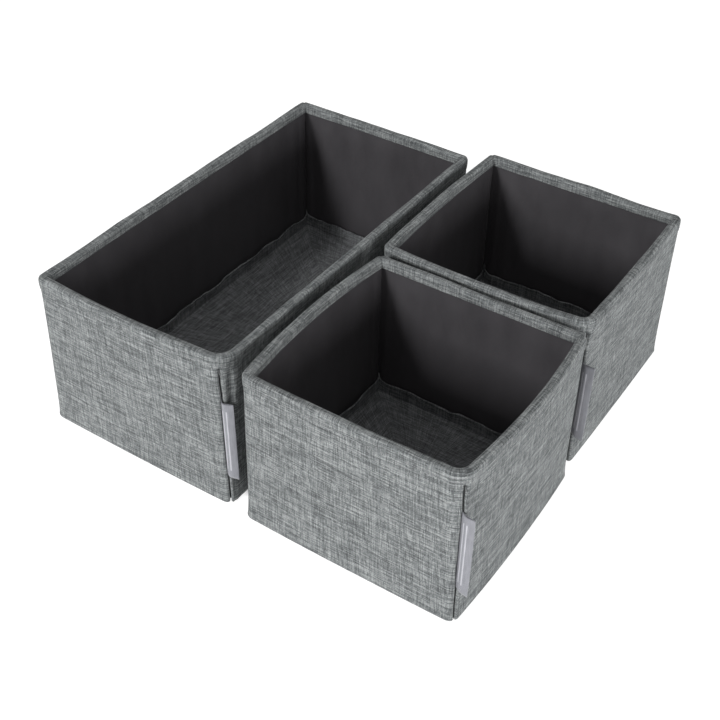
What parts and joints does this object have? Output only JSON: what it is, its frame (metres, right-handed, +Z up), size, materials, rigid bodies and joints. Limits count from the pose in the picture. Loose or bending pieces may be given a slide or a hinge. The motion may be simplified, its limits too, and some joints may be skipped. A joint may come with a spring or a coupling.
{
  "type": "fabric storage box set",
  "caption": "Set of open-top fabric storage boxes, one long and the others half its length, with board-stiffened walls, bound rims and loose covered base inserts.",
  "frame": {"origin": "centre of the whole set's footprint, at the height the boxes stand on", "axes": "+X to the right along the short front faces, +Y to the rear along the long box, +Z up"},
  "size_m": [0.2758, 0.2638, 0.1],
  "materials": {
    "outer_fabric": "matt grey melange plain weave",
    "lining_fabric": "smooth dark charcoal lining with a faint sheen",
    "insert_fabric": "matt grey melange plain weave",
    "base_fabric": "matt dark nonwoven",
    "board": "plain grey-brown board, hidden inside the fabric",
    "label_ribbon": "light grey satin ribbon with a plain woven pattern"
  },
  "bodies": {
    "long_box": {"long_outer_cover": "outer_fabric", "long_rim_binding": "outer_fabric", "long_lining": "lining_fabric", "long_base_panel": "base_fabric", "long_front_board": "board", "long_right_board": "board", "long_rear_board": "board", "long_left_board": "board", "long_label": "label_ribbon"},
    "long_insert": {"long_insert_cover": "insert_fabric", "long_insert_board": "board"},
    "small_front_box": {"small_front_outer_cover": "outer_fabric", "small_front_rim_binding": "outer_fabric", "small_front_lining": "lining_fabric", "small_front_base_panel": "base_fabric", "small_front_front_board": "board", "small_front_right_board": "board", "small_front_rear_board": "board", "small_front_left_board": "board", "small_front_label": "label_ribbon"},
    "small_front_insert": {"small_front_insert_cover": "insert_fabric", "small_front_insert_board": "board"},
    "small_rear_box": {"small_rear_outer_cover": "outer_fabric", "small_rear_rim_binding": "outer_fabric", "small_rear_lining": "lining_fabric", "small_rear_base_panel": "base_fabric", "small_rear_front_board": "board", "small_rear_right_board": "board", "small_rear_rear_board": "board", "small_rear_left_board": "board", "small_rear_label": "label_ribbon"},
    "small_rear_insert": {"small_rear_insert_cover": "insert_fabric", "small_rear_insert_board": "board"}
  },
  "joints": [
    {"name": "long_insert_lift", "type": "slide", "parent": "long_box", "child": "long_insert", "axis": [0, 0, 1], "range_m": [0, 0.12]},
    {"name": "small_front_box_lift", "type": "slide", "parent": "long_box", "child": "small_front_box", "axis": [0, 0, 1], "range_m": [0, 0.12]},
    {"name": "small_front_insert_lift", "type": "slide", "parent": "small_front_box", "child": "small_front_insert", "axis": [0, 0, 1], "range_m": [0, 0.12]},
    {"name": "small_rear_box_lift", "type": "slide", "parent": "long_box", "child": "small_rear_box", "axis": [0, 0, 1], "range_m": [0, 0.12]},
    {"name": "small_rear_insert_lift", "type": "slide", "parent": "small_rear_box", "child": "small_rear_insert", "axis": [0, 0, 1], "range_m": [0, 0.12]}
  ]
}
